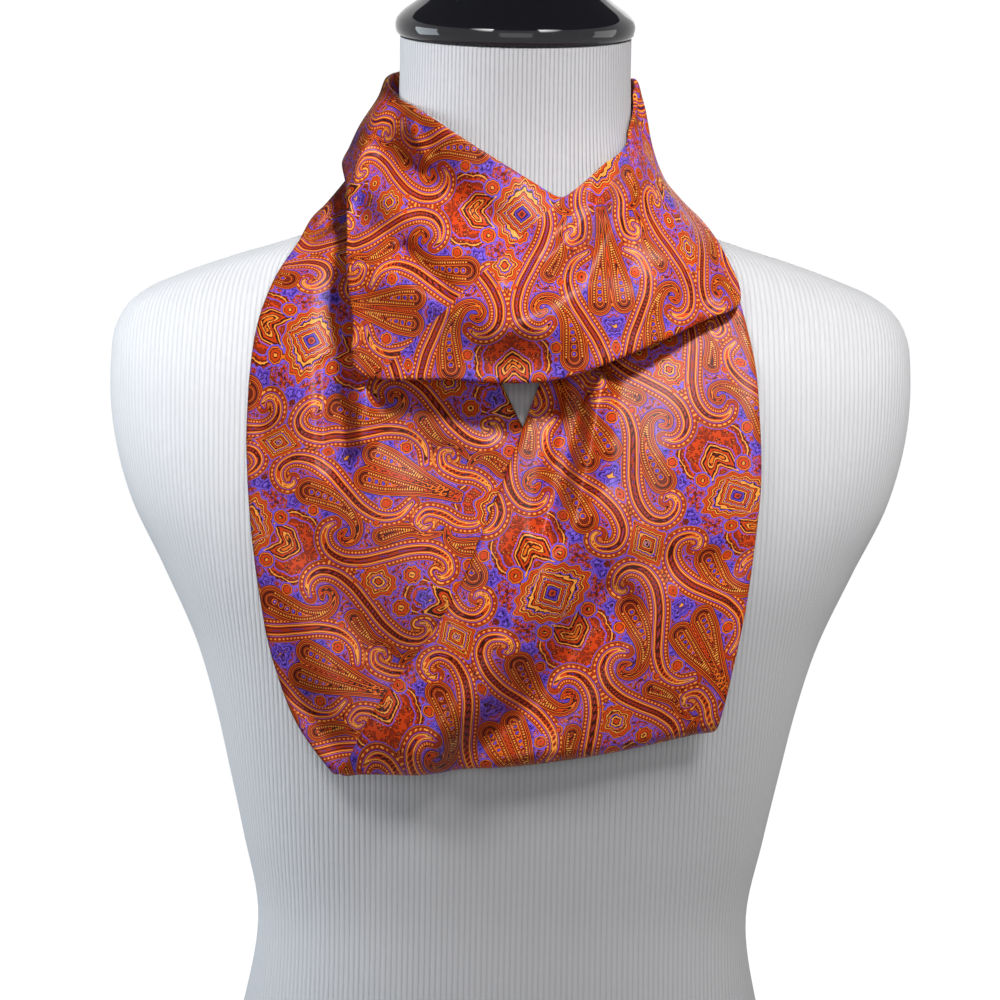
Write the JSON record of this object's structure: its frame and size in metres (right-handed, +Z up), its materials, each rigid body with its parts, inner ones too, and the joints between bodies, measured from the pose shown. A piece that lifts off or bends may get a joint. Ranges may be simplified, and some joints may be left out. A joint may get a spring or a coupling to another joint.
{
  "type": "infinity scarf on a limbless dress form",
  "caption": "Satin infinity scarf with a paisley print, wound twice round the neck of a jersey-covered torso form with a gloss neck cap.",
  "frame": {"origin": "centre of the dress form's flat underside, which it stands on", "axes": "+Z up, -Y out of the chest towards the viewer, +X to the viewer's right"},
  "size_m": [0.3982, 0.2425, 0.65],
  "materials": {
    "scarf_satin": "printed satin with a soft sheen, paisley in rust and violet",
    "form_jersey": "light grey fine-ribbed jersey, matte",
    "cap_gloss": "gloss black"
  },
  "bodies": {
    "root": {"form_body": "form_jersey", "neck_cap": "cap_gloss", "scarf_neck_wrap": "scarf_satin", "scarf_left_drop": "scarf_satin", "scarf_right_drop": "scarf_satin", "scarf_back_high": "scarf_satin", "scarf_back_low": "scarf_satin"}
  },
  "joints": []
}
